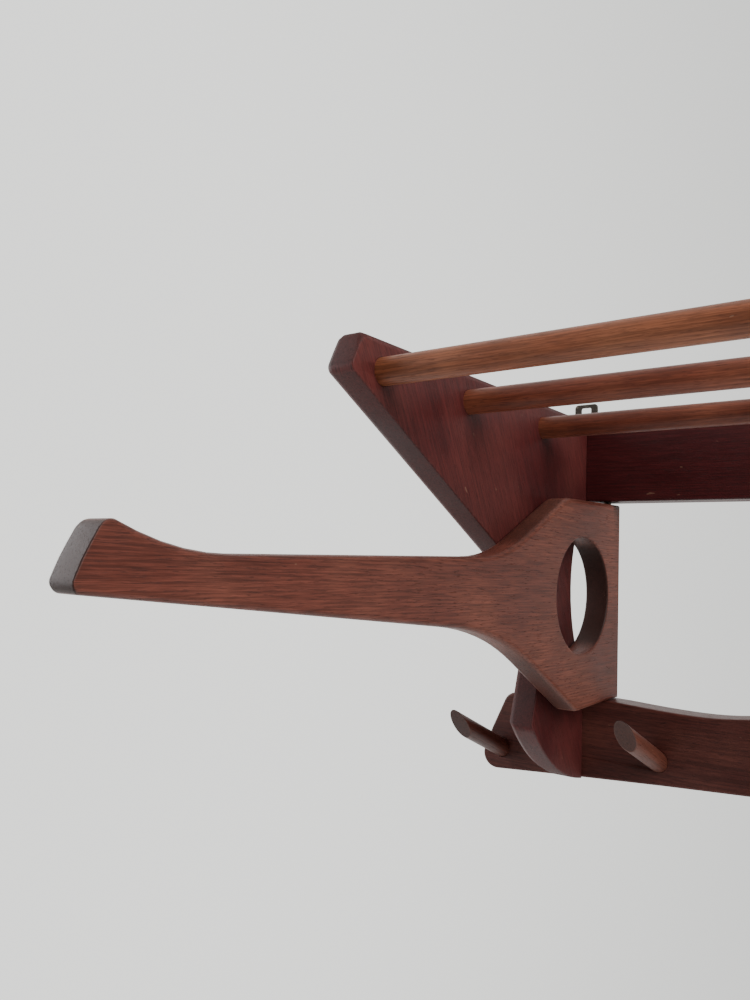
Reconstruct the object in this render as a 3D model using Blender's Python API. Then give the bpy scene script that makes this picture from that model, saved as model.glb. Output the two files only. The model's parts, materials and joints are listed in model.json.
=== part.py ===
"""Wall-mounted coat and hat rack with two swing-out hanger arms.

Units are metres.  +X runs along the wall to the right, +Y goes into the wall and +Z is up.
The origin is on the wall plane, at the middle of the upper rail's back face.
The rack is mirrored about X = 0, so most lengths along X are counted from the inner face
of a side panel, positive towards the middle of the rack.
"""

import math

import bmesh
import bpy
from mathutils import Matrix, Vector
from mathutils.geometry import tessellate_polygon

MM = 0.001
GAP = 0.3 * MM                      # clearance between pieces that touch

# ---- driving dimensions ---------------------------------------------------------------
INNER_WIDTH = 1000 * MM             # between the two side panels
PANEL_THICKNESS = 20 * MM
RAIL_THICKNESS = 23 * MM
ARM_THICKNESS = 18.6 * MM

UPPER_RAIL_TOP = 31 * MM
UPPER_RAIL_BOTTOM = -31 * MM

PANEL_TOP = 36.5 * MM
PANEL_FRONT = -329.8 * MM
PANEL_INNER_ROUND = 1 * MM          # crisp front edges on the side panels' inner faces,
PANEL_OUTER_ROUND = 5.2 * MM        # well rounded ones on their outer faces,
PANEL_TOP_ROUND = 5 * MM            # and a rounded top

BAR_RADIUS = 8 * MM
BAR_HEIGHT = 17.3 * MM
BAR_DEPTHS = {"front": -301.5 * MM, "middle": -209.3 * MM, "rear": -103.5 * MM}
BAR_SOCKET = 12 * MM                # how far a bar is let into a side panel

PEG_RADIUS = 7.5 * MM
PEG_RISE = math.radians(22.4)       # slope of a peg above the horizontal
PEG_CUT = math.radians(-39)         # slope of the oblique end face's normal
PEG_LENGTH = 74 * MM                # rail face to the middle of the end face
PEG_TENON = 17 * MM                 # length inside the rail
PEG_FROM_PANEL = 59.8 * MM          # first peg inside a side panel
PEG_OUTSIDE = -72 * MM              # the peg on the rail's wing, outside the panel
INNER_PEGS = 8
PEG_ABOVE_EDGE = 18 * MM            # peg centre above the lower rail's bottom edge

PIVOT_FROM_PANEL = 13.7 * MM        # hinge axis from the side panel's inner face
PIVOT_DEPTH = -RAIL_THICKNESS / 2
ARM_OUTWARD = math.radians(1.2)     # how far the open arm leans past square to the wall
ARM_TOP = -32.8 * MM
ARM_BOTTOM = -187.6 * MM
ARM_ROUND = 3.5 * MM
ARM_TIP_ROUND = 0.5 * MM
ARM_TIP_LOW = (480.4, -102.5)       # corners of the tip's face, in mm from the hinge axis
ARM_TIP_HIGH = (467.2, -73.5)
ARM_HOLE_OUT = 63.1 * MM            # hole centre from the hinge axis
ARM_HOLE_HEIGHT = -105.6 * MM
ARM_HOLE_HALF_WIDTH = 44.3 * MM     # along the arm; the hole is slightly oval
ARM_HOLE_HALF_HEIGHT = 43 * MM
ARM_HOLE_ROUND = 1.6 * MM

LOWER_RAIL_TOP = -188.2 * MM        # under the arm's pivot
LOWER_RAIL_BOTTOM = -250.6 * MM     # at a side panel's inner face
PIN_RADIUS = 3 * MM
PIN_HOLE_RADIUS = 3.2 * MM
PIN_REACH = 14 * MM                 # pin length inside each piece of wood

HANGER_WIDTH = 20 * MM
HANGER_THICKNESS = 1.6 * MM
HANGER_TOP = PANEL_TOP + 17.8 * MM
HANGER_BOTTOM = PANEL_TOP - 47.5 * MM
HANGER_SLOT_WIDTH = 8.7 * MM
HANGER_SLOT_TOP = PANEL_TOP + 14.9 * MM
HANGER_SLOT_BOTTOM = PANEL_TOP + 1 * MM
HANGER_SCREW_HEIGHTS = {"upper": 23 * MM, "lower": -3 * MM}

HANGER_SCREW_RADIUS = 1.75 * MM
HANGER_HEAD_RADIUS = 3.2 * MM
HANGER_HEAD_HEIGHT = 1.4 * MM

RAIL_SCREW_HEIGHTS = {"upper": 10 * MM, "lower": -11.5 * MM}
RAIL_SCREW_RADIUS = 2.25 * MM
RAIL_SCREW_LENGTH = 55 * MM
FOOT_SCREW_HEIGHTS = {"upper": -203 * MM, "lower": -232 * MM}
FOOT_SCREW_RADIUS = 2.25 * MM
SCREW_HEAD_HEIGHT = 2.65 * MM
PLUG_RADIUS = 5 * MM
PLUG_LENGTH = 5 * MM

LONGEST_CHORD = 12 * MM             # on large round corners
HALF = INNER_WIDTH / 2
SIDES = {"left": -1, "right": 1}


# ---- outlines ---------------------------------------------------------------------------
def fillet(corners, step=math.radians(12)):
    """Turn (u, v, radius) corners of a closed outline into points, with round corners."""
    points = []
    count = len(corners)
    for i, (u, v, radius) in enumerate(corners):
        here = Vector((u, v))
        before = (Vector(corners[i - 1][:2]) - here).normalized()
        after = (Vector(corners[(i + 1) % count][:2]) - here).normalized()
        if radius <= 0:
            points.append(here)
            continue
        half = before.angle(after) / 2
        centre = here + (before + after).normalized() * (radius / math.sin(half))
        start = here + before * (radius / math.tan(half)) - centre
        turn = -start.angle_signed(here + after * (radius / math.tan(half)) - centre)
        parts = max(2, math.ceil(abs(turn) / step), math.ceil(abs(turn) * radius / LONGEST_CHORD))
        for k in range(parts + 1):
            points.append(centre + Matrix.Rotation(turn * k / parts, 2) @ start)
    return points


def arc(centre, radius, start, end, parts):
    """Points on a circle from angle start to angle end, in radians."""
    angles = [start + (end - start) * k / parts for k in range(parts + 1)]
    return [Vector((centre[0] + radius * math.cos(a), centre[1] + radius * math.sin(a))) for a in angles]


def smooth(knots, parts=4):
    """A Catmull-Rom curve through the knots, without the last knot."""
    knots = [Vector(k) for k in knots]
    ends = [2 * knots[0] - knots[1]] + knots + [2 * knots[-1] - knots[-2]]
    points = []
    for a, b, c, d in zip(ends, ends[1:], ends[2:], ends[3:]):
        for k in range(parts):
            t = k / parts
            points.append(0.5 * (2 * b + (c - a) * t + (2 * a - 5 * b + 4 * c - d) * t ** 2
                                 + (3 * b - 3 * c + d - a) * t ** 3))
    return points


def area(loop):
    return sum(a.cross(b) for a, b in zip(loop, loop[1:] + loop[:1])) / 2


def inset(loop, distances):
    """Move each point of a loop to its left by its own distance."""
    moved = []
    for before, here, after, distance in zip(loop[-1:] + loop, loop, loop[1:] + loop[:1], distances):
        first = (here - before).normalized()
        second = (after - here).normalized()
        left = Vector((-first.y, first.x)) + Vector((-second.y, second.x))
        moved.append(here + left * (distance / max(0.2, left.length_squared / 2)))
    return moved


# ---- meshes -----------------------------------------------------------------------------
def plate(outline, holes, thickness, rounding, hole_rounding=0.0, back_rounding=None, steps=2):
    """A flat board with softened edges, standing on z = 0 in its own frame.

    rounding is a radius, or a function of an outline point that gives one.  The edges on
    z = 0 have back_rounding instead, if it is given.
    """
    loops = [outline if area(outline) > 0 else outline[::-1]]
    loops += [hole if area(hole) < 0 else hole[::-1] for hole in holes]
    least = 0.1 * MM
    bm = bmesh.new()
    caps = [[], []]
    for number, loop in enumerate(loops):
        high = hole_rounding if number else rounding
        low = high if number or back_rounding is None else back_rounding
        front = [max(least, high(p) if callable(high) else high) for p in loop]
        back = [max(least, low(p) if callable(low) else low) for p in loop]
        rings = []
        for side, radii in ((0, back), (1, front)):
            for k in range(steps + 1):
                angle = math.pi / 2 * (k if side == 0 else steps - k) / steps
                points = inset(loop, [r * (1 - math.sin(angle)) for r in radii])
                lift = [r * (1 - math.cos(angle)) for r in radii]
                heights = [thickness - h if side else h for h in lift]
                rings.append([bm.verts.new((p.x, p.y, h)) for p, h in zip(points, heights)])
        for below, above in zip(rings, rings[1:]):
            for i in range(len(loop)):
                bm.faces.new((below[i - 1], below[i], above[i], above[i - 1]))
        caps[0].append(rings[0])
        caps[1].append(rings[-1])
    for rings in caps:
        verts = [v for ring in rings for v in ring]
        for triangle in tessellate_polygon([[v.co for v in ring] for ring in rings]):
            bm.faces.new([verts[i] for i in triangle])
    bmesh.ops.recalc_face_normals(bm, faces=bm.faces)
    return bm


def mirrored(bm, axis):
    """A copy of a bmesh, mirrored in one of its own axes."""
    copy = bm.copy()
    bmesh.ops.scale(copy, vec=[-1 if k == axis else 1 for k in range(3)], verts=copy.verts)
    bmesh.ops.recalc_face_normals(copy, faces=copy.faces)
    return copy


def turned(profile, sides=16):
    """A solid of revolution about Z from (radius, height) pairs; a radius of 0 closes an end."""
    bm = bmesh.new()
    rings = []
    for radius, height in profile:
        angles = [2 * math.pi * k / sides for k in range(sides)] if radius else [0.0]
        rings.append([bm.verts.new((radius * math.cos(a), radius * math.sin(a), height)) for a in angles])
    for low, high in zip(rings, rings[1:]):
        for i in range(sides):
            corners = [low[i - 1], low[i], high[i], high[i - 1]] if len(low) > 1 and len(high) > 1 else None
            if corners is None:
                wide, tip = (low, high[0]) if len(high) == 1 else (high, low[0])
                corners = [wide[i - 1], wide[i], tip]
            bm.faces.new(corners)
    bmesh.ops.recalc_face_normals(bm, faces=bm.faces)
    return bm


def rod(radius, length, sides=24, chamfer=0.0):
    ends = [(radius - chamfer, 0), (radius, chamfer), (radius, length - chamfer), (radius - chamfer, length)]
    body = ends if chamfer else [(radius, 0), (radius, length)]
    return turned([(0, 0)] + body + [(0, length)], sides)


def block(low, high):
    bm = bmesh.new()
    size = Vector(high) - Vector(low)
    place = Matrix.Translation(Vector(low) + size / 2) @ Matrix.Diagonal((*size, 1))
    bmesh.ops.create_cube(bm, size=1, matrix=place)
    return bm


def material(name, colour, roughness, metallic=0.0):
    made = bpy.data.materials.get(name)
    if made is None:
        made = bpy.data.materials.new(name)
        made.use_nodes = True
        shader = made.node_tree.nodes["Principled BSDF"]
        shader.inputs["Base Color"].default_value = (*colour, 1)
        shader.inputs["Roughness"].default_value = roughness
        shader.inputs["Metallic"].default_value = metallic
    return made


TEAK = ("teak", (0.13, 0.045, 0.028), 0.42)
TEAK_BAR = ("teak_bar", (0.22, 0.075, 0.035), 0.4)
TEAK_ARM = ("teak_arm", (0.17, 0.062, 0.042), 0.42)
STEEL = ("dark_steel", (0.08, 0.065, 0.055), 0.45, 0.9)
PIN_STEEL = ("pin_steel", (0.35, 0.34, 0.33), 0.35, 1.0)


def add(name, bm, look, place=None):
    """Make a named object from a bmesh; place is its matrix_world."""
    mesh = bpy.data.meshes.new(name)
    bm.to_mesh(mesh)
    bm.free()
    mesh.shade_smooth()
    mesh.set_sharp_from_angle(angle=math.radians(35))
    return add_mesh(name, mesh, look, place)


def add_mesh(name, mesh, look, place=None):
    thing = bpy.data.objects.new(name, mesh)
    if look and not mesh.materials:
        mesh.materials.append(material(*look))
    if place is not None:
        thing.matrix_world = place
    bpy.context.collection.objects.link(thing)
    return thing


def cut(target, pieces):
    """Cut placed solids, a list of (bmesh, matrix), out of the target as one Boolean."""
    whole = bmesh.new()
    for bm, place in pieces:
        bm.transform(place)
        piece = bpy.data.meshes.new("piece")
        bm.to_mesh(piece)
        bm.free()
        whole.from_mesh(piece)
        bpy.data.meshes.remove(piece)
    cutter = add(target.name + "_cutter", whole, None)
    cutter.hide_render = True
    cutter.display_type = 'WIRE'
    boolean = target.modifiers.new("cut", 'BOOLEAN')
    boolean.operation = 'DIFFERENCE'
    boolean.solver = 'EXACT'
    boolean.object = cutter


def along(direction, start):
    """A matrix that takes local +Z to direction, at start."""
    turn = Vector((0, 0, 1)).rotation_difference(Vector(direction)).to_matrix().to_4x4()
    return Matrix.Translation(Vector(start)) @ turn


# A board lying in the YZ plane (local x, y, z become world Y, Z, X), and one in the XZ plane
# whose local z becomes world -Y, so that its front cap faces away from the wall.
UPRIGHT = Matrix(((0, 0, 1, 0), (1, 0, 0, 0), (0, 1, 0, 0), (0, 0, 0, 1)))
FACING = Matrix(((1, 0, 0, 0), (0, 0, -1, 0), (0, 1, 0, 0), (0, 0, 0, 1)))


# ---- side panels ------------------------------------------------------------------------
def panel_outline():
    """Profile in (Y, Z): shelf bracket above, narrow waist, and a foot with a rounded lobe."""
    lobe_centre = (-5 * MM, -118.3 * MM)
    lobe_radius = 134.1 * MM
    toe = Vector((-112.5 * MM, -198.6 * MM))
    foot_depth = -RAIL_THICKNESS - GAP
    back_centre = (57.2 * MM, -100.3 * MM)
    back_radius = 105.9 * MM
    shoulder = math.asin((foot_depth - back_centre[0]) / back_radius)

    corners = [(0, UPPER_RAIL_BOTTOM, 0), (0, PANEL_TOP, 2 * MM), (-34 * MM, PANEL_TOP + 0.1 * MM, 0),
               (PANEL_FRONT + 10.5 * MM, PANEL_TOP, 5.4 * MM), (PANEL_FRONT + 5 * MM, 25.5 * MM, 0),
               (PANEL_FRONT, 14.4 * MM, 5.4 * MM), (-87.2 * MM, -116.3 * MM, 40 * MM), (toe.x, toe.y, 0)]
    points = fillet(corners)
    first = math.atan2(toe.y - lobe_centre[1], toe.x - lobe_centre[0]) + 2 * math.pi
    last = 1.5 * math.pi + math.asin((foot_depth - lobe_centre[0]) / lobe_radius)
    points += arc(lobe_centre, lobe_radius, first, last, 12)[1:]
    low = 1.5 * math.pi + shoulder
    high = 0.5 * math.pi - shoulder
    points += arc(back_centre, back_radius, low, high, 14)
    return points


def inner_softness(point):
    """Edge rounding of a side panel's inner face at a point of its outline."""
    if point.x > -RAIL_THICKNESS - 1 * MM:
        return 0.3 * MM
    below = min(1.0, (PANEL_TOP + 0.1 * MM - point.y) / (10 * MM))
    return PANEL_TOP_ROUND + (PANEL_INNER_ROUND - PANEL_TOP_ROUND) * below


def outer_softness(point):
    """The same for the outer face, fading to crisp at the rail."""
    clear = (-RAIL_THICKNESS - 1 * MM - point.x) / (16 * MM)
    return 0.3 * MM + (PANEL_OUTER_ROUND - 0.3 * MM) * max(0.0, min(1.0, clear))


def side_panels():
    """Boards whose outer face is on local z = 0, so the right one is mirrored."""
    board = plate(panel_outline(), [], PANEL_THICKNESS, inner_softness, back_rounding=outer_softness)
    board.transform(UPRIGHT @ Matrix.Translation((0, 0, -PANEL_THICKNESS / 2)))
    boards = {"left": board.copy(), "right": mirrored(board, 0)}
    board.free()
    for side, sign in SIDES.items():
        inner = sign * HALF
        middle = sign * (HALF + PANEL_THICKNESS / 2)
        outer = sign * (HALF + PANEL_THICKNESS)
        panel = add("side_panel_" + side, boards[side], TEAK, Matrix.Translation((middle, 0, 0)))
        wide = HANGER_WIDTH / 2 + GAP
        housing = block((middle - wide, -HANGER_THICKNESS - GAP, HANGER_BOTTOM - GAP),
                        (middle + wide, 1 * MM, PANEL_TOP + 1 * MM))
        cut(panel, [(housing, Matrix())])
        pieces = []
        for depth in BAR_DEPTHS.values():
            start = (inner - sign * 1 * MM, depth, BAR_HEIGHT)
            pieces.append((rod(BAR_RADIUS + GAP, BAR_SOCKET + 1 * MM + GAP), along((sign, 0, 0), start)))
        for height in RAIL_SCREW_HEIGHTS.values():
            start = (outer + sign * 1 * MM, PIVOT_DEPTH, height)
            pieces.append((plugged_hole(), along((-sign, 0, 0), start)))
        for height in FOOT_SCREW_HEIGHTS.values():
            start = (middle, 1 * MM - RAIL_THICKNESS, height)
            pieces.append((rod(FOOT_SCREW_RADIUS + GAP, 24 * MM, 12), along((0, -1, 0), start)))
        for height in HANGER_SCREW_HEIGHTS.values():
            start = (middle, 1 * MM - HANGER_THICKNESS, height)
            pieces.append((rod(HANGER_SCREW_RADIUS + GAP, 19 * MM, 12), along((0, -1, 0), start)))
        cut(panel, pieces)


def plugged_hole():
    """A plug's counterbore, the room for a screw head and its shank's hole, from 1 mm outside."""
    wide = PLUG_RADIUS + GAP
    shank = RAIL_SCREW_RADIUS + GAP
    depth = 1 * MM + PLUG_LENGTH + SCREW_HEAD_HEIGHT + 2 * GAP
    through = PANEL_THICKNESS + 2 * MM
    return turned([(0, 0), (wide, 0), (wide, depth), (shank, depth), (shank, through), (0, through)])


def screw_profile(shank, head, head_height, gap, length):
    """Seat of a countersunk screw, from 1 mm outside the face to a flat end."""
    wide = head + gap
    rim = 1 * MM + 2 * gap
    neck = 1 * MM + head_height + gap
    return [(0, 0), (wide, 0), (wide, rim), (shank + gap, neck), (shank + gap, length), (0, length)]


# ---- rails and shelf bars ---------------------------------------------------------------
def upper_rail():
    length = INNER_WIDTH - 2 * GAP
    section = fillet([(0, UPPER_RAIL_BOTTOM, 0.5 * MM), (0, UPPER_RAIL_TOP, 0.5 * MM),
                      (-RAIL_THICKNESS, UPPER_RAIL_TOP, 1.5 * MM),
                      (-RAIL_THICKNESS, UPPER_RAIL_BOTTOM, 1.5 * MM)], math.radians(30))
    board = plate(section, [], length, 0.1 * MM, steps=1)
    board.transform(UPRIGHT @ Matrix.Translation((0, 0, -length / 2)))
    rail = add("upper_rail", board, TEAK)
    pieces = []
    for sign in SIDES.values():
        for height in RAIL_SCREW_HEIGHTS.values():
            start = (sign * (HALF + 1 * MM), PIVOT_DEPTH, height)
            length = RAIL_SCREW_LENGTH - PANEL_THICKNESS + 7 * MM
            pieces.append((rod(RAIL_SCREW_RADIUS + GAP, length, 12), along((-sign, 0, 0), start)))
        start = (sign * (HALF - PIVOT_FROM_PANEL), PIVOT_DEPTH, UPPER_RAIL_BOTTOM - 1 * MM)
        pieces.append((rod(PIN_RADIUS + GAP, PIN_REACH + 1 * MM + GAP, 24), along((0, 0, 1), start)))
    cut(rail, pieces)


def rail_bottom(inside):
    """Height of the lower rail's bottom edge, by distance inside the panel's inner face."""
    slope = 0.0825
    height = LOWER_RAIL_BOTTOM + slope * inside
    return height - slope * inside ** 2 / INNER_WIDTH if inside > 0 else height


def lower_rail_outline():
    """Arched rail in (X, Z): level under the folded arms, with a slanted wing past each panel."""
    top = [(-55, -191.0), (-20, -188.4), (8, -188.2), (30, -188.7), (60, -190.3), (88, -190.9),
           (108, -190.0), (126, -187.8), (150, -185.0), (200, -181.4), (300, -177.2), (400, -174.7),
           (500, -174.0)]
    half = [Vector((-HALF + u * MM, v * MM)) for u, v in top]
    whole = half + [Vector((-p.x, p.y)) for p in reversed(half[:-1])]
    edge = smooth(whole, 3) + whole[-1:]
    wing = [(-95.5 * MM, rail_bottom(-95.5 * MM), 12 * MM), (-81.5 * MM, -223 * MM, 60 * MM),
            (-67.5 * MM, -192.7 * MM, 12 * MM)]
    left = [(-HALF + u, v, r) for u, v, r in wing]
    right = [(-u, v, r) for u, v, r in reversed(left)]
    corners = [(p.x, p.y, 0) for p in edge] + right
    steps = 16
    for k in range(steps + 1):
        x = HALF - INNER_WIDTH * k / steps
        corners.append((x, rail_bottom(HALF - abs(x)), 0))
    return fillet(corners + left)


def peg_places():
    """Centres of the peg holes on the lower rail's front face, left to right."""
    first = -HALF + PEG_FROM_PANEL
    pitch = -2 * first / (INNER_PEGS - 1)
    places = [-HALF + PEG_OUTSIDE] + [first + pitch * k for k in range(INNER_PEGS)] + [HALF - PEG_OUTSIDE]
    return [(x, -RAIL_THICKNESS, rail_bottom(HALF - abs(x)) + PEG_ABOVE_EDGE) for x in places]


PEG_AXIS = Vector((0, -math.cos(PEG_RISE), math.sin(PEG_RISE)))


def lower_rail():
    board = plate(lower_rail_outline(), [], RAIL_THICKNESS, 1.8 * MM, back_rounding=0.4 * MM)
    rail = add("lower_rail", board, TEAK, FACING)
    pieces = []
    for place in peg_places():
        start = Vector(place) - PEG_AXIS * (PEG_TENON + GAP)
        pieces.append((rod(PEG_RADIUS + GAP, 40 * MM, 20), along(PEG_AXIS, start)))
    for sign in SIDES.values():
        start = (sign * (HALF - PIVOT_FROM_PANEL), PIVOT_DEPTH, LOWER_RAIL_TOP + 1 * MM)
        pieces.append((rod(PIN_RADIUS + GAP, PIN_REACH + 1 * MM + GAP, 24), along((0, 0, -1), start)))
        for height in FOOT_SCREW_HEIGHTS.values():
            start = (sign * (HALF + PANEL_THICKNESS / 2), 1 * MM, height)
            seat = screw_profile(FOOT_SCREW_RADIUS, 2 * FOOT_SCREW_RADIUS, SCREW_HEAD_HEIGHT, GAP,
                                 RAIL_THICKNESS + 3 * MM)
            pieces.append((turned(seat), along((0, -1, 0), start)))
    cut(rail, pieces)


def shelf_bars():
    length = INNER_WIDTH + 2 * BAR_SOCKET
    for name, depth in BAR_DEPTHS.items():
        bar = rod(BAR_RADIUS, length, 28, 0.5 * MM)
        add("shelf_bar_" + name, bar, TEAK_BAR, along((1, 0, 0), (-length / 2, depth, BAR_HEIGHT)))


# ---- coat pegs --------------------------------------------------------------------------
def coat_pegs():
    """Round pegs cut off obliquely, so that the end face looks out and down."""
    sides = 24
    normal = Vector((0, -math.cos(PEG_CUT), math.sin(PEG_CUT)))
    place = along(PEG_AXIS, (0, 0, 0))
    inward = place.inverted().to_3x3() @ normal
    bm = rod(PEG_RADIUS, PEG_LENGTH + PEG_TENON, sides, 0.4 * MM)
    end = max(v.co.z for v in bm.verts)
    bmesh.ops.translate(bm, vec=(0, 0, 40 * MM), verts=[v for v in bm.verts if v.co.z > end - 1 * MM])
    plane = Vector((0, 0, end))
    bmesh.ops.bisect_plane(bm, geom=bm.verts[:] + bm.edges[:] + bm.faces[:], plane_co=plane,
                           plane_no=inward, clear_outer=True)
    rim = [e for e in bm.edges if e.is_boundary]
    bmesh.ops.contextual_create(bm, geom=rim)
    cap = max(bm.faces, key=lambda f: len(f.verts) if f.normal.dot(inward) > 0.9 else 0)
    bmesh.ops.bevel(bm, geom=cap.edges[:], offset=0.6 * MM, segments=2, affect='EDGES', profile=0.5)
    bmesh.ops.recalc_face_normals(bm, faces=bm.faces)
    bmesh.ops.translate(bm, vec=(0, 0, -PEG_TENON), verts=bm.verts)
    mesh = bpy.data.meshes.new("coat_peg")
    bm.to_mesh(mesh)
    bm.free()
    mesh.shade_smooth()
    mesh.set_sharp_from_angle(angle=math.radians(35))
    for number, centre in enumerate(peg_places(), 1):
        add_mesh("coat_peg_%d" % number, mesh, TEAK_BAR, Matrix.Translation(centre) @ place)


# ---- swing-out hanger arms --------------------------------------------------------------
def arm_outline():
    """Profile in (out along the arm, height): wide hinge end, slender neck and flared tip."""
    back = -ARM_THICKNESS / 2 / MM
    low = ARM_BOTTOM / MM
    corners = [(back, low, 0), (10, low, 0), (71.5, -189.9, 15), (183.7, -127.7, 230),
               (*ARM_TIP_LOW, 4.4), (475.6, -89.5, 90), (*ARM_TIP_HIGH, 7), (430.1, -86.7, 125),
               (181.4, -80.6, 135), (91.8, -34.8, 30), (back, ARM_TOP / MM, 0)]
    return fillet([(u * MM, v * MM, r * MM) for u, v, r in corners])


def arm_softness(point):
    """Rounding of the edges that face the rack's middle: full along the arm, crisp at its tip."""
    low = Vector(ARM_TIP_LOW)
    along_face = (Vector(ARM_TIP_HIGH) - low).normalized()
    inside = abs(along_face.cross(point / MM - low))
    return ARM_TIP_ROUND + (ARM_ROUND - ARM_TIP_ROUND) * min(1.0, inside / 9)


def arm_end_cutter():
    """Rounds the hinge end in plan, so that the arm turns clear of the wall."""
    radius = ARM_THICKNESS / 2 + GAP
    reach = 14 * MM
    outline = arc((0, 0), radius, math.pi / 2, math.pi * 1.5, 14)
    outline += [Vector((0, -reach)), Vector((-reach, -reach)), Vector((-reach, reach)), Vector((0, reach))]
    height = ARM_TOP - ARM_BOTTOM + 4 * MM
    return plate(outline, [], height, 0.0, steps=1), Matrix.Translation((0, 0, ARM_BOTTOM - 2 * MM))


def swing_arms():
    centre = Vector((ARM_HOLE_OUT, ARM_HOLE_HEIGHT))
    oval = Matrix.Diagonal((ARM_HOLE_HALF_WIDTH, ARM_HOLE_HALF_HEIGHT))
    hole = [centre + oval @ p for p in arc((0, 0), 1, 0, 2 * math.pi, 56)[:-1]]
    board = plate(arm_outline(), [hole], ARM_THICKNESS, ARM_ROUND, ARM_HOLE_ROUND, arm_softness)
    board.transform(FACING @ Matrix.Translation((0, 0, -ARM_THICKNESS / 2)))
    boards = {"left": board.copy(), "right": mirrored(board, 1)}
    board.free()
    for side, sign in SIDES.items():
        pivot = Matrix.Translation((sign * (HALF - PIVOT_FROM_PANEL), PIVOT_DEPTH, 0))
        place = pivot @ Matrix.Rotation(-math.pi / 2 + sign * ARM_OUTWARD, 4, 'Z')
        arm = add("swing_arm_" + side, boards[side], TEAK_ARM, place)
        end, end_place = arm_end_cutter()
        cut(arm, [(end, place @ end_place)])
        pieces = []
        for start, direction in ((ARM_TOP + 1 * MM, -1), (ARM_BOTTOM - 1 * MM, 1)):
            drilled = rod(PIN_HOLE_RADIUS, PIN_REACH + 1 * MM)
            pieces.append((drilled, place @ along((0, 0, direction), (0, 0, start))))
        cut(arm, pieces)


def pivots():
    """Two steel pins for each arm, let into the rails."""
    clear = 0.5 * MM
    for side, sign in SIDES.items():
        spot = Matrix.Translation((sign * (HALF - PIVOT_FROM_PANEL), PIVOT_DEPTH, 0))
        spans = {"upper": (ARM_TOP - PIN_REACH + clear, UPPER_RAIL_BOTTOM + PIN_REACH),
                 "lower": (LOWER_RAIL_TOP - PIN_REACH, ARM_BOTTOM + PIN_REACH - clear)}
        for name, (low, high) in spans.items():
            place = spot @ Matrix.Translation((0, 0, low))
            pin = rod(PIN_RADIUS, high - low, 24, 0.4 * MM)
            add("%s_pivot_pin_%s" % (name, side), pin, PIN_STEEL, place)


# ---- hanger plates, screws and plugs ----------------------------------------------------
def hanger_plates():
    wide = HANGER_WIDTH / 2
    slot = HANGER_SLOT_WIDTH / 2
    outline = fillet([(-wide, HANGER_BOTTOM, 3 * MM), (wide, HANGER_BOTTOM, 3 * MM),
                      (wide, HANGER_TOP, 3 * MM), (-wide, HANGER_TOP, 3 * MM)])
    window = fillet([(-slot, HANGER_SLOT_BOTTOM, 3 * MM), (slot, HANGER_SLOT_BOTTOM, 3 * MM),
                     (slot, HANGER_SLOT_TOP, 1.5 * MM), (-slot, HANGER_SLOT_TOP, 1.5 * MM)])
    for side, sign in SIDES.items():
        middle = sign * (HALF + PANEL_THICKNESS / 2)
        bm = plate(outline, [window], HANGER_THICKNESS, 0.2 * MM, 0.2 * MM, steps=1)
        hanger = add("hanger_plate_" + side, bm, STEEL, Matrix.Translation((middle, 0, 0)) @ FACING)
        pieces = []
        for height in HANGER_SCREW_HEIGHTS.values():
            seat = screw_profile(HANGER_SCREW_RADIUS, HANGER_HEAD_RADIUS, HANGER_HEAD_HEIGHT, GAP, 5 * MM)
            pieces.append((turned(seat), along((0, -1, 0), (middle, 1 * MM, height))))
        cut(hanger, pieces)


def screw(name, shank, head, head_height, length, place):
    """Slotted countersunk wood screw; local +Z points into the wood."""
    rim = 0.25 * MM
    point = length - 3 * shank
    body = turned([(0, 0), (head, 0), (head, rim), (shank, head_height), (shank, point),
                   (0.3 * MM, length), (0, length)])
    made = add(name, body, STEEL, place)
    groove = block((-0.5 * MM, -head * 2, -1 * MM), (0.5 * MM, head * 2, head_height * 0.4))
    cut(made, [(groove, place @ Matrix.Rotation(math.radians(35), 4, 'Z'))])


def fasteners():
    for side, sign in SIDES.items():
        middle = sign * (HALF + PANEL_THICKNESS / 2)
        outer = sign * (HALF + PANEL_THICKNESS)
        for level, height in HANGER_SCREW_HEIGHTS.items():
            place = along((0, -1, 0), (middle, -0.15 * MM, height))
            screw("hanger_screw_%s_%s" % (side, level), HANGER_SCREW_RADIUS, HANGER_HEAD_RADIUS,
                  HANGER_HEAD_HEIGHT, 16 * MM, place)
        for level, height in FOOT_SCREW_HEIGHTS.items():
            place = along((0, -1, 0), (middle, -GAP, height))
            screw("foot_screw_%s_%s" % (side, level), FOOT_SCREW_RADIUS, 2 * FOOT_SCREW_RADIUS,
                  SCREW_HEAD_HEIGHT, 44 * MM, place)
        for level, height in RAIL_SCREW_HEIGHTS.items():
            start = outer - sign * (PLUG_LENGTH + GAP)
            screw("rail_screw_%s_%s" % (side, level), RAIL_SCREW_RADIUS, 2 * RAIL_SCREW_RADIUS,
                  SCREW_HEAD_HEIGHT, RAIL_SCREW_LENGTH, along((-sign, 0, 0), (start, PIVOT_DEPTH, height)))
            plug = rod(PLUG_RADIUS, PLUG_LENGTH, 20, 0.2 * MM)
            place = along((-sign, 0, 0), (outer, PIVOT_DEPTH, height))
            add("screw_plug_%s_%s" % (side, level), plug, TEAK, place)


for old in list(bpy.data.objects):
    bpy.data.objects.remove(old, do_unlink=True)
side_panels()
upper_rail()
lower_rail()
shelf_bars()
coat_pegs()
swing_arms()
pivots()
hanger_plates()
fasteners()
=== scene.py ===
"""Looks for the wall-mounted teak coat and hat rack: timber, fittings, light and camera.

Units are metres and the frame is the part's own: +X along the wall, +Y into it, +Z up.
"""

import json
import math

import bmesh
import bpy
from mathutils import Matrix, Vector

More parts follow.
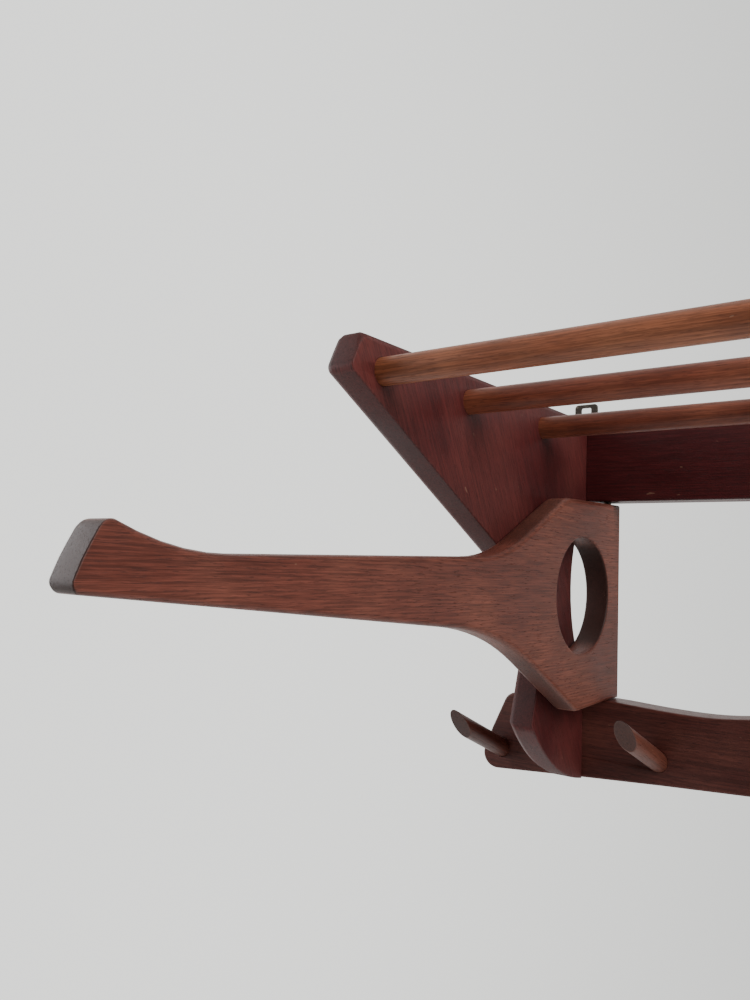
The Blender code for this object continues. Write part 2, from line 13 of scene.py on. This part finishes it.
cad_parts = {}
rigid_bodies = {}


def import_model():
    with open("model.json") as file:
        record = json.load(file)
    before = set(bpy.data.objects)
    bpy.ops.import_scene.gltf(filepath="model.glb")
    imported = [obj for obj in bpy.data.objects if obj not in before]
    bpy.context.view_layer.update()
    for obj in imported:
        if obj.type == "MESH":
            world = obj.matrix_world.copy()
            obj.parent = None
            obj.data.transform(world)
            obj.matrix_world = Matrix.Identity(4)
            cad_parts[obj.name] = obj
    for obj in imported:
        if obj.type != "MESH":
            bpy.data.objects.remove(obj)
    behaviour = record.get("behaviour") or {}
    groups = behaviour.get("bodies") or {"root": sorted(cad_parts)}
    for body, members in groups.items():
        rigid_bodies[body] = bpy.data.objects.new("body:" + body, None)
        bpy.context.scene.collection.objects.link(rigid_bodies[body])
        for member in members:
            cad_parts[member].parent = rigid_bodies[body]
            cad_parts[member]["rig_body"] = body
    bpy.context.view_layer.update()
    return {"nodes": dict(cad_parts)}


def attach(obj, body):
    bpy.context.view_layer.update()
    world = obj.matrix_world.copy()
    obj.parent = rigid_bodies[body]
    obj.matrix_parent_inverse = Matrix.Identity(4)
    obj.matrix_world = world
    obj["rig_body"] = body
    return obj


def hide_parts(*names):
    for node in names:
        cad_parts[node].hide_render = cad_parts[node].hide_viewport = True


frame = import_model()

MM = 0.001
FLOOR_DROP = 1.7                    # the rack hangs this far above the floor
FLOOR_RADIUS = 2.2

# Camera: close to the rack's left end, turned left and a little upwards.
CAMERA_PLACE = (-0.2349, -0.6494, -0.0887)
CAMERA_TURN = math.radians(37.59)
CAMERA_RISE = math.radians(4.606)
CAMERA_TILT = math.radians(2.086)
CAMERA_LENS = 29.13                 # millimetres, for a sensor this wide
CAMERA_SENSOR = 36
CAMERA_NEAREST = 0.02

# Surroundings: plain pale light, darker in front of the rack, where the room is, and towards its
# right-hand end. Its strength is the product of one factor for each axis of the direction.
ROOM_TINT = (0.935, 0.94, 0.915)
ROOM_LIGHT = (                      # axis, low and high end of the change, factor at each
    ("Y", -0.9, 0.35, 0.26, 1.62),
    ("X", -0.75, 0.45, 1.0, 0.40),
)
LAMP_AIM = (-0.3, -0.15, -0.05)
LAMPS = (                           # name, place, diameter, watts, tint
    ("window", (2.4, -1.4, 1.9), 3.0, 150, (1.0, 0.97, 0.94)),
    ("side_wall", (-2.2, -1.0, 0.3), 1.8, 30, (0.97, 0.98, 1.0)),
)
FLOOR_TINTS = ((0.86, 0.87, 0.87), (0.91, 0.915, 0.91))

# Timber: how often each feature repeats in a metre, along the fibres and both ways across.
WAVES = (3, 75, 75)
STREAKS = (26, 950, 950)
FIBRES = (90, 2000, 2000)
PORES = (130, 1700, 1700)
NICKS = (120, 300, 300)
CLOUDS = 11.0                       # this and the next repeat alike in every direction
PLANING = 38.0
PLANING_DEPTH = 1.2 * MM
PORE_DEPTH = 0.12 * MM
WORN_EDGE = 2.2 * MM                # width of the rubbed edges
WORN_MOST = 0.25                    # how far their tone goes towards the worn one
NICK_TINT = (0.30, 0.17, 0.11)
OIL_IOR = 1.36                      # a thin oil finish, duller than varnish

# Tones of each kind of piece: dark, middle and light. The front bar's set is a lighter copy of the
# other bars': painted light, for the extra light that falls on the front bar.
PANEL_TONES = ((0.048, 0.0068, 0.0072), (0.066, 0.0104, 0.0102), (0.096, 0.0190, 0.0165))
RAIL_TONES = ((0.046, 0.0052, 0.0062), (0.058, 0.0072, 0.0082), (0.068, 0.0100, 0.0100))
PEG_RAIL_TONES = ((0.062, 0.0155, 0.0125), (0.082, 0.0225, 0.0175), (0.112, 0.0350, 0.0250))
FRONT_BAR_LIT_TONES = ((0.150, 0.0450, 0.0215), (0.215, 0.0690, 0.0320), (0.300, 0.1120, 0.0520))
BAR_TONES = ((0.100, 0.0235, 0.0125), (0.148, 0.0360, 0.0185), (0.205, 0.0610, 0.0310))
PEG_TONES = ((0.060, 0.0150, 0.0100), (0.082, 0.0215, 0.0140), (0.112, 0.0325, 0.0190))
ARM_TONES = ((0.088, 0.0225, 0.0150), (0.118, 0.0325, 0.0215), (0.158, 0.0520, 0.0340))

# Directions of the fibres: the panels' run down towards the wall, the pegs' up and forwards.
ALONG_X = (1.0, 0.0, 0.0)
PEG_COUNT = 10
PEG_RISE = math.radians(22.4)
ALONG_PEG = (0.0, -math.cos(PEG_RISE), math.sin(PEG_RISE))
ARM_LEAN = math.radians(1.2)
PANEL_SLOPE = math.radians(62)
PANEL_GRAIN = (0.0, math.cos(PANEL_SLOPE), -math.sin(PANEL_SLOPE))

# Metal: tone, worn tone and roughness, then how often each feature repeats in a metre.
BRONZE = ((0.060, 0.048, 0.040), (0.26, 0.22, 0.18), 0.36)
STEEL = ((0.12, 0.10, 0.085), (0.05, 0.035, 0.028), 0.38)
PATCHES = 160.0
GRIT = 1400.0
GRIT_DEPTH = 0.05 * MM
BRUSHING = (2600, 2600, 60)
METAL_EDGE = 0.6 * MM

# Shading: points this near are one, faces this flat are one, and steeper corners stay crisp.
SAME_PLACE = 0.004 * MM
SAME_PLANE = math.radians(0.1)
SHARP_CORNER = math.radians(50)


# ---- shader helpers ---------------------------------------------------------------------
class Shader:
    """Short calls for building one material's nodes."""

    def __init__(self, name):
        self.material = bpy.data.materials.new(name)
        self.material.use_nodes = True
        self.nodes = self.material.node_tree.nodes
        self.links = self.material.node_tree.links
        self.surface = self.nodes["Principled BSDF"]

    def link(self, source, target):
        self.links.new(source, target)

    def feed(self, socket, value):
        """Set a socket from a number, a colour or another node's output."""
        if isinstance(value, bpy.types.NodeSocket):
            self.link(value, socket)
        else:
            socket.default_value = value

    def add(self, kind, **settings):
        node = self.nodes.new(kind)
        for key, value in settings.items():
            setattr(node, key, value)
        return node

    def math(self, operation, a, b=0.0, clamp=False):
        node = self.add("ShaderNodeMath", operation=operation, use_clamp=clamp)
        self.feed(node.inputs[0], a)
        self.feed(node.inputs[1], b)
        return node.outputs[0]

    def noise(self, place, scale, detail, roughness=0.5, distortion=0.0):
        node = self.add("ShaderNodeTexNoise")
        self.link(place, node.inputs["Vector"])
        node.inputs["Scale"].default_value = scale
        node.inputs["Detail"].default_value = detail
        node.inputs["Roughness"].default_value = roughness
        node.inputs["Distortion"].default_value = distortion
        return node.outputs["Fac"]

    def ramp(self, value, low, high, to_low=0.0, to_high=1.0):
        """Spread value's stretch low..high over to_low..to_high, with soft ends."""
        node = self.add("ShaderNodeMapRange", interpolation_type="SMOOTHSTEP")
        self.feed(node.inputs["Value"], value)
        node.inputs["From Min"].default_value = low
        node.inputs["From Max"].default_value = high
        node.inputs["To Min"].default_value = to_low
        node.inputs["To Max"].default_value = to_high
        return node.outputs["Result"]

    def mix(self, factor, a, b):
        node = self.add("ShaderNodeMix", data_type="RGBA")
        self.feed(node.inputs["Factor"], factor)
        self.feed(node.inputs["A"], a)
        self.feed(node.inputs["B"], b)
        return node.outputs["Result"]

    def mapped(self, place, turn=(0, 0, 0), scale=(1, 1, 1), shift=(0, 0, 0)):
        node = self.add("ShaderNodeMapping")
        self.link(place, node.inputs["Vector"])
        node.inputs["Rotation"].default_value = turn
        node.inputs["Scale"].default_value = scale
        node.inputs["Location"].default_value = shift
        return node.outputs["Vector"]

    def bump(self, height, strength, distance, under=None):
        node = self.add("ShaderNodeBump")
        node.inputs["Strength"].default_value = strength
        node.inputs["Distance"].default_value = distance
        self.link(height, node.inputs["Height"])
        if under is not None:
            self.link(under, node.inputs["Normal"])
        return node.outputs["Normal"]


def colour(red, green, blue):
    return (red, green, blue, 1.0)


# ---- timber -----------------------------------------------------------------------------
def teak(name, tones, grain, shift, dull=0.42, contrast=0.22, ends=0.4):
    """Oiled teak whose fibres run along the unit vector grain.

    tones are dark, middle and light; shift picks the part of the log, dull is the roughness,
    contrast that of the fibres and ends the darkening of end grain.
    """
    dark, middle, light = tones
    s = Shader(name)
    coordinates = s.add("ShaderNodeTexCoord")
    turn = Vector(grain).rotation_difference(Vector((1, 0, 0))).to_euler()
    board = s.mapped(coordinates.outputs["Object"], turn, shift=shift)

    waves = s.noise(s.mapped(board, scale=WAVES), 1.0, 3.0, 0.55, 0.5)
    streaks = s.noise(s.mapped(board, scale=STREAKS), 1.0, 2.0, 0.6)
    fibres = s.noise(s.mapped(board, scale=FIBRES), 1.0, 2.0, 0.7)
    pores = s.noise(s.mapped(board, scale=PORES), 1.0, 2.0, 0.6)
    clouds = s.noise(board, CLOUDS, 3.0, 0.55)
    marks = s.noise(s.mapped(board, scale=NICKS), 1.0, 1.0, 0.4)

    figure = s.mix(s.ramp(waves, 0.30, 0.66, 0.15, 1.0), colour(*dark), colour(*middle))
    figure = s.mix(s.ramp(clouds, 0.40, 0.66, 0.0, 0.85), figure, colour(*light))
    shaded = s.add("ShaderNodeVectorMath", operation="SCALE")
    s.link(figure, shaded.inputs[0])
    strength = s.math("MULTIPLY", s.ramp(streaks, 0.34, 0.66, 1 - contrast, 1 + contrast),
                      s.ramp(fibres, 0.32, 0.68, 1 - 0.8 * contrast, 1 + 0.6 * contrast))
    s.link(strength, shaded.inputs["Scale"])
    open_pores = s.ramp(pores, 0.56, 0.70)
    timber = s.mix(s.math("MULTIPLY", open_pores, 0.5), shaded.outputs[0],
                   colour(*[0.25 * c for c in dark]))

    across = s.add("ShaderNodeVectorMath", operation="DOT_PRODUCT")
    s.link(coordinates.outputs["Normal"], across.inputs[0])
    across.inputs[1].default_value = grain
    end_grain = s.ramp(s.math("ABSOLUTE", across.outputs["Value"]), 0.30, 0.62)
    timber = s.mix(s.math("MULTIPLY", end_grain, ends), timber, colour(*[0.20 * c for c in dark]))

    rubbed = s.math("MULTIPLY", edges(s, WORN_EDGE, WORN_MOST), s.ramp(clouds, 0.38, 0.62))
    timber = s.mix(rubbed, timber, colour(*[0.75 * c + 0.04 for c in light]))
    nicks = s.math("MULTIPLY", s.ramp(marks, 0.79, 0.81), 0.35)
    timber = s.mix(nicks, timber, colour(*NICK_TINT))
    s.link(timber, s.surface.inputs["Base Color"])

    sheen = s.math("ADD", s.ramp(clouds, 0.3, 0.7, dull - 0.06, dull + 0.10),
                   s.math("MULTIPLY", s.ramp(fibres, 0.3, 0.7), 0.07))
    sheen = s.math("ADD", sheen, s.math("MULTIPLY", end_grain, 0.10))
    roughness = s.math("ADD", sheen, s.math("MULTIPLY", open_pores, 0.2), clamp=True)
    s.link(roughness, s.surface.inputs["Roughness"])
    s.surface.inputs["IOR"].default_value = OIL_IOR

    hollow = s.math("SUBTRACT", s.math("MULTIPLY", fibres, 0.35), open_pores)
    fine = s.bump(hollow, 0.35, PORE_DEPTH)
    uneven = s.noise(board, PLANING, 2.0, 0.5)
    s.link(s.bump(uneven, 0.10, PLANING_DEPTH, fine), s.surface.inputs["Normal"])
    return s.material


def edges(s, radius, most):
    """A mask of the edges that hands and cloths have rubbed."""
    rounded = s.add("ShaderNodeBevel", samples=6)
    rounded.inputs["Radius"].default_value = radius
    facing = s.add("ShaderNodeVectorMath", operation="DOT_PRODUCT")
    s.link(rounded.outputs["Normal"], facing.inputs[0])
    s.link(s.add("ShaderNodeNewGeometry").outputs["Normal"], facing.inputs[1])
    return s.ramp(facing.outputs["Value"], 0.995, 0.90, 0.0, most)


# ---- metal ------------------------------------------------------------------------------
def metal(name, tone, worn, dull):
    """Dark plated or drawn metal, with rubbed edges, spots and fine grit."""
    s = Shader(name)
    place = s.add("ShaderNodeTexCoord").outputs["Object"]
    patches = s.noise(place, PATCHES, 4.0, 0.6)
    grit = s.noise(place, GRIT, 2.0, 0.6)
    brushed = s.noise(s.mapped(place, scale=BRUSHING), 1.0, 2.0, 0.5)
    rubbed = edges(s, METAL_EDGE, 0.8)
    spots = s.ramp(patches, 0.54, 0.70, 0.0, 0.6)
    base = s.mix(s.math("MAXIMUM", rubbed, spots), colour(*tone), colour(*worn))
    s.link(base, s.surface.inputs["Base Color"])
    s.link(s.math("ADD", s.ramp(patches, 0.3, 0.7, dull, dull + 0.15),
                  s.math("MULTIPLY", brushed, 0.12)), s.surface.inputs["Roughness"])
    s.surface.inputs["Metallic"].default_value = 0.9
    s.link(s.bump(grit, 0.25, GRIT_DEPTH), s.surface.inputs["Normal"])
    return s.material


# ---- pieces -----------------------------------------------------------------------------
def piece(node, material):
    """A clean copy of a CAD node with crisp corners and evenly shaded round edges."""
    source = frame["nodes"][node]
    bm = bmesh.new()
    bm.from_mesh(source.data)
    bmesh.ops.remove_doubles(bm, verts=bm.verts, dist=SAME_PLACE)
    # Flat faces become whole again, so that each one outweighs the roundings beside it.
    bmesh.ops.dissolve_limit(bm, angle_limit=SAME_PLANE, verts=bm.verts, edges=bm.edges)
    bmesh.ops.recalc_face_normals(bm, faces=bm.faces)
    mesh = bpy.data.meshes.new(node + "_look")
    bm.to_mesh(mesh)
    bm.free()
    mesh.shade_smooth()
    mesh.set_sharp_from_angle(angle=SHARP_CORNER)
    mesh.materials.append(material)
    made = bpy.data.objects.new(node + "_look", mesh)
    bpy.context.collection.objects.link(made)
    even = made.modifiers.new("even_shading", 'WEIGHTED_NORMAL')
    even.weight = 60
    even.keep_sharp = True
    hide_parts(node)
    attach(made, source["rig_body"])


def board_shift(number):
    """Where in the log a board was cut, so that no two boards share their grain."""
    return (0.37 * number, 0.211 * number, 0.133 * number)


def timber():
    number = 0
    for side, sign in (("left", -1), ("right", 1)):
        number += 3
        panel = teak("teak_panel_" + side, PANEL_TONES, PANEL_GRAIN, board_shift(number), dull=0.46)
        piece("side_panel_" + side, panel)
        along_arm = (sign * math.sin(ARM_LEAN), -math.cos(ARM_LEAN), 0.0)
        arm = teak("teak_arm_" + side, ARM_TONES, along_arm, board_shift(number + 1),
                   contrast=0.27, ends=0.85)
        piece("swing_arm_" + side, arm)
        plug = teak("teak_plug_" + side, PANEL_TONES, ALONG_X, board_shift(number + 2), dull=0.46)
        for level in ("upper", "lower"):
            piece("screw_plug_%s_%s" % (side, level), plug)
    upper = teak("teak_upper_rail", RAIL_TONES, ALONG_X, board_shift(11), dull=0.46)
    piece("upper_rail", upper)
    lower = teak("teak_lower_rail", PEG_RAIL_TONES, ALONG_X, board_shift(12), dull=0.44)
    piece("lower_rail", lower)
    for name in ("front", "middle", "rear"):
        number += 1
        # The front bar takes the lighter tones: painted light on the bar that catches the most
        # light.
        tones = FRONT_BAR_LIT_TONES if name == "front" else BAR_TONES
        bar = teak("teak_bar_" + name, tones, ALONG_X, board_shift(number + 10), dull=0.40)
        piece("shelf_bar_" + name, bar)
    for peg in range(1, PEG_COUNT + 1):
        turned = teak("teak_peg_%d" % peg, PEG_TONES, ALONG_PEG, board_shift(peg + 20), ends=0.95)
        piece("coat_peg_%d" % peg, turned)


def fittings():
    bronze = metal("bronze_plated_steel", *BRONZE)
    steel = metal("drawn_steel", *STEEL)
    for name in sorted(frame["nodes"]):
        if name.startswith(("hanger_plate", "hanger_screw", "rail_screw", "foot_screw")):
            piece(name, bronze)
        elif "pivot" in name:
            piece(name, steel)


# ---- surroundings -----------------------------------------------------------------------
def floor():
    bpy.ops.mesh.primitive_circle_add(vertices=128, radius=FLOOR_RADIUS, fill_type='NGON',
                                      location=(0, 0, -FLOOR_DROP))
    made = bpy.context.object
    made.name = "floor"
    s = Shader("pale_floor")
    place = s.add("ShaderNodeTexCoord").outputs["Object"]
    darker, lighter = FLOOR_TINTS
    tint = s.mix(s.noise(place, 1.5, 3.0), colour(*darker), colour(*lighter))
    s.link(tint, s.surface.inputs["Base Color"])
    s.surface.inputs["Roughness"].default_value = 0.8
    made.data.materials.append(s.material)


def lamp(name, place, size, power, tint):
    light = bpy.data.lights.new(name, 'AREA')
    light.shape = 'DISK'
    light.size = size
    light.energy = power
    light.color = tint
    made = bpy.data.objects.new(name, light)
    made.location = place
    made.rotation_euler = (Vector(LAMP_AIM) - Vector(place)).to_track_quat('-Z', 'Y').to_euler()
    made.visible_camera = False
    bpy.context.collection.objects.link(made)


def surroundings():
    world = bpy.data.worlds.new("studio")
    world.use_nodes = True
    nodes = world.node_tree.nodes
    link = world.node_tree.links.new
    direction = nodes.new("ShaderNodeTexCoord")
    parts = nodes.new("ShaderNodeSeparateXYZ")
    link(direction.outputs["Generated"], parts.inputs[0])
    room = nodes.new("ShaderNodeMath")
    room.operation = 'MULTIPLY'
    for number, (axis, low, high, at_low, at_high) in enumerate(ROOM_LIGHT):
        stretch = nodes.new("ShaderNodeMapRange")
        stretch.interpolation_type = "SMOOTHSTEP"
        link(parts.outputs[axis], stretch.inputs["Value"])
        stretch.inputs["From Min"].default_value = low
        stretch.inputs["From Max"].default_value = high
        stretch.inputs["To Min"].default_value = at_low
        stretch.inputs["To Max"].default_value = at_high
        link(stretch.outputs["Result"], room.inputs[number])
    sky = nodes["Background"]
    sky.inputs["Color"].default_value = colour(*ROOM_TINT)
    link(room.outputs["Value"], sky.inputs["Strength"])
    bpy.context.scene.world = world
    for row in LAMPS:
        lamp(*row)


def camera():
    lens = bpy.data.cameras.new("camera")
    lens.lens = CAMERA_LENS
    lens.sensor_width = CAMERA_SENSOR
    lens.clip_start = CAMERA_NEAREST
    made = bpy.data.objects.new("camera", lens)
    turn = Matrix.Rotation(CAMERA_TURN, 4, 'Z')
    rise = Matrix.Rotation(math.pi / 2 + CAMERA_RISE, 4, 'X')
    tilt = Matrix.Rotation(CAMERA_TILT, 4, 'Z')
    made.matrix_world = Matrix.Translation(CAMERA_PLACE) @ turn @ rise @ tilt
    bpy.context.collection.objects.link(made)
    bpy.context.scene.camera = made


timber()
fittings()
floor()
surroundings()
camera()
